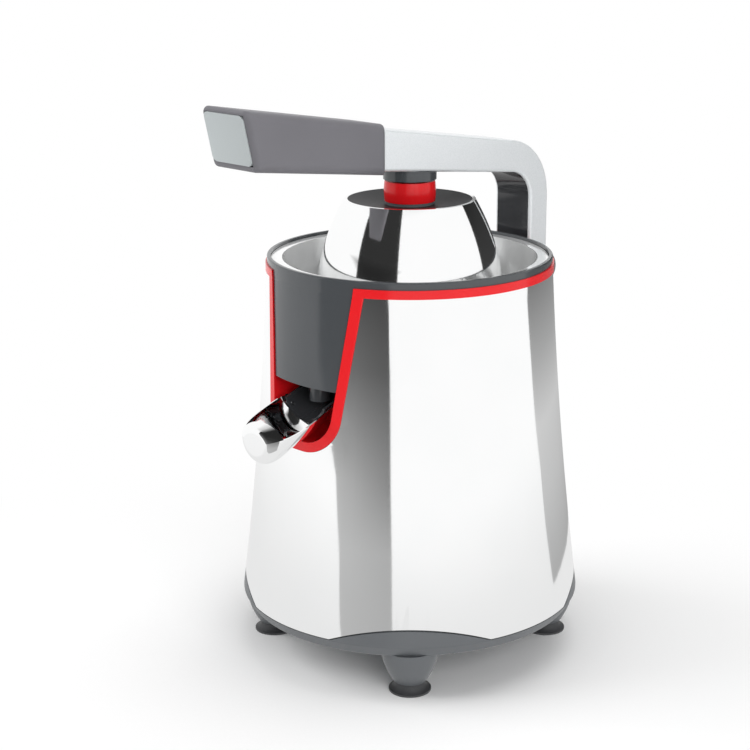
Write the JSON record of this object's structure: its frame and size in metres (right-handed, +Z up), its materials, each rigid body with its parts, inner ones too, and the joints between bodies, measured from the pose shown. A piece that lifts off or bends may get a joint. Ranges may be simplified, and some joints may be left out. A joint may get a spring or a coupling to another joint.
{
  "type": "citrus press juicer",
  "caption": "Lever citrus press: flared steel body on suction feet, bowl with strainer and reamer, hinged arm with a press dome, motor drive and tipping spout.",
  "frame": {"origin": "on the table surface, under the middle of the whole object", "axes": "+Z up along the drive axis, -Y towards the spout and the grip, X along the lever pin"},
  "size_m": [0.204, 0.2456, 0.334],
  "materials": {
    "polished_steel": "polished",
    "grey_plastic": "satin",
    "grip_rubber": "soft touch",
    "red_plastic": "gloss",
    "silver_metal": "satin",
    "black_plastic": "gloss",
    "black_rubber": "matt",
    "white_plastic": "satin",
    "nylon": "satin",
    "bright_steel": "ground",
    "zinc_steel": "zinc plated",
    "bronze": "plain",
    "laminated_iron": "varnished"
  },
  "bodies": {
    "housing": {"outer_shell": "polished_steel", "base_tray": "grey_plastic", "suction_feet": "black_rubber", "trim_liner": "red_plastic", "juice_bowl": "grey_plastic", "strainer": "polished_steel", "spout_chute": "black_plastic", "spout_pins": "bright_steel", "hinge_bracket": "grey_plastic", "bracket_screws": "zinc_steel", "lever_pin": "bright_steel", "shaft_seal": "black_rubber", "shaft_bushes": "bronze", "gear_cover": "nylon", "gear_plate": "zinc_steel", "gear_bridge": "zinc_steel", "gear_screws": "zinc_steel", "idler_axle": "bright_steel", "motor_can": "zinc_steel", "motor_stator": "laminated_iron", "motor_bearings": "bronze", "motor_screws": "zinc_steel", "return_spring": "bright_steel", "start_switch": "black_plastic", "tie_bolts": "zinc_steel", "cord_gland": "black_rubber"},
    "lever": {"lever_arm": "silver_metal", "arm_cover": "black_plastic", "grip_sleeve": "grip_rubber", "grip_cap": "silver_metal", "dome_collar": "grey_plastic", "dome_pin": "bright_steel", "lever_bushes": "bronze"},
    "dome": {"dome_stem": "grey_plastic", "lock_ring": "red_plastic", "dome_cap": "black_plastic", "press_dome": "polished_steel", "dome_liner": "white_plastic"},
    "press_carriage": {"press_plate": "zinc_steel", "switch_plunger": "white_plastic"},
    "drive": {"drive_shaft": "bright_steel", "output_gear": "nylon", "juicing_cone": "white_plastic"},
    "idler": {"idler_gear": "nylon"},
    "rotor": {"motor_rotor": "laminated_iron", "motor_shaft": "bright_steel", "motor_pinion": "bronze"},
    "spout": {"pour_spout": "polished_steel"}
  },
  "joints": [
    {"name": "lever_hinge", "type": "hinge", "parent": "housing", "child": "lever", "pos_m": [0, 0.1135, 0.2175], "axis": [-1, 0, 0], "range_deg": [0, 80]},
    {"name": "dome_tilt", "type": "hinge", "parent": "lever", "child": "dome", "pos_m": [0, 0.0152, 0.2937], "axis": [1, 0, 0], "range_deg": [-3, 3]},
    {"name": "cone_press", "type": "slide", "parent": "housing", "child": "press_carriage", "axis": [0, 0, -1], "range_m": [0, 0.0022], "stiffness_N_per_m": 2500, "springref_m": -0.002, "deforming": ["return_spring"]},
    {"name": "cone_spin", "type": "hinge", "parent": "press_carriage", "child": "drive", "pos_m": [0, 0.0152, 0.205], "axis": [0, 0, 1], "continuous": true},
    {"name": "idler_spin", "type": "hinge", "parent": "housing", "child": "idler", "pos_m": [0, 0.0452, 0.14], "axis": [0, 0, 1], "continuous": true},
    {"name": "motor_spin", "type": "hinge", "parent": "housing", "child": "rotor", "pos_m": [0, 0.0152, 0.085], "axis": [0, 0, 1], "continuous": true},
    {"name": "spout_flip", "type": "hinge", "parent": "housing", "child": "spout", "pos_m": [0, -0.0666, 0.16106], "axis": [-1, 0, 0], "range_deg": [0, 30]}
  ],
  "couplings": [
    {"joint": "idler_spin", "follows": "cone_spin", "ratio": -4},
    {"joint": "motor_spin", "follows": "cone_spin", "ratio": 16}
  ]
}
